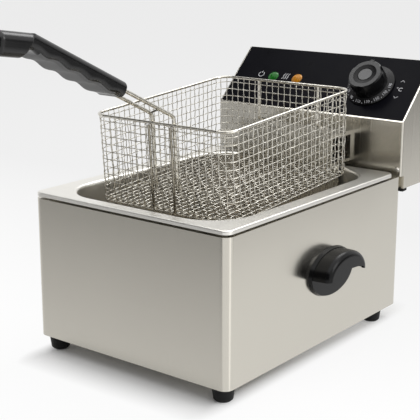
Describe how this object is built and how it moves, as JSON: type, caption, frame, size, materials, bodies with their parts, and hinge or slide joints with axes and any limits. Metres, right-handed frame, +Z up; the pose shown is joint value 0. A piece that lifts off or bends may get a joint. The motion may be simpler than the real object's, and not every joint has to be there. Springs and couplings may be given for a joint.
{
  "type": "deep fryer",
  "caption": "Countertop electric deep fryer: steel casing with side handles, lift-out oil tank, lift-off control head with heating element, and a hanging wire basket.",
  "frame": {"origin": "on the floor, below the middle of the whole object with the basket's handle included", "axes": "+Z up, +Y from the front to the rear where the control head is, +X to the right of someone facing the front"},
  "size_m": [0.32, 0.6004, 0.3841],
  "materials": {
    "casing_steel": "brushed",
    "tank_steel": "satin",
    "bracket_steel": "satin",
    "screw_steel": "plain",
    "element_steel": "satin",
    "wire_plating": "bright",
    "bulb_copper": "satin",
    "black_rubber": "matt",
    "black_plastic": "semi-gloss",
    "cap_plastic": "gloss",
    "grey_insert": "matt",
    "panel_black": "satin",
    "lens_green": "clear",
    "lens_amber": "clear",
    "white_plastic": "plain",
    "control_plastic": "plain",
    "reset_red": "gloss"
  },
  "bodies": {
    "casing": {"casing_wrap": "casing_steel", "tank_rest": "casing_steel", "rear_panel": "casing_steel", "rear_panel_screws": "screw_steel", "base_plate": "casing_steel", "foot_front_left": "black_rubber", "foot_front_right": "black_rubber", "foot_rear_left": "black_rubber", "foot_rear_right": "black_rubber", "foot_screws": "screw_steel", "side_handle_left": "black_plastic", "side_handle_right": "black_plastic", "handle_screws": "screw_steel"},
    "tank": {"oil_tank": "tank_steel"},
    "head": {"head_case": "casing_steel", "head_apron": "casing_steel", "head_back_cover": "casing_steel", "back_cover_screws": "screw_steel", "head_front_screws": "screw_steel", "head_bumper_left": "black_rubber", "head_bumper_right": "black_rubber", "control_panel": "panel_black", "lamp_green": "lens_green", "lamp_amber": "lens_amber", "lamp_bodies": "white_plastic", "thermostat_body": "control_plastic", "micro_switch": "control_plastic", "safety_cutout": "control_plastic", "terminal_block": "white_plastic", "cord_grommet": "black_rubber", "element_bracket": "bracket_steel", "bracket_screws": "screw_steel", "heating_element": "element_steel", "element_nuts": "screw_steel", "element_braces": "bracket_steel", "thermostat_bulb": "bulb_copper", "cutout_bulb": "bulb_copper"},
    "knob": {"thermostat_knob": "black_plastic", "knob_cap": "cap_plastic", "thermostat_shaft": "screw_steel"},
    "reset": {"reset_button": "reset_red"},
    "basket": {"basket_rim": "wire_plating", "basket_front_net": "wire_plating", "basket_rear_net": "wire_plating", "basket_left_net": "wire_plating", "basket_right_net": "wire_plating", "basket_floor_net": "wire_plating", "basket_corner_nets": "wire_plating", "basket_hook": "wire_plating", "front_stays": "wire_plating", "handle_rods": "wire_plating", "handle_bridge": "wire_plating", "handle_grip": "black_plastic", "grip_insert": "grey_insert"}
  },
  "joints": [
    {"name": "tank_lift", "type": "slide", "parent": "casing", "child": "tank", "axis": [0, 0, 1], "range_m": [0, 0.16]},
    {"name": "head_lift", "type": "slide", "parent": "tank", "child": "head", "axis": [0, 0, 1], "range_m": [0, 0.18]},
    {"name": "basket_lift", "type": "slide", "parent": "head", "child": "basket", "axis": [0, 0, 1], "range_m": [0, 0.12]},
    {"name": "thermostat_turn", "type": "hinge", "parent": "head", "child": "knob", "pos_m": [0.072, 0.25631, 0.27831], "axis": [0, 0.6921, -0.7218], "range_deg": [0, 270]},
    {"name": "reset_press", "type": "slide", "parent": "head", "child": "reset", "axis": [0, -1, 0], "range_m": [0, 0.002], "stiffness_N_per_m": 600, "springref_m": -0.002}
  ]
}
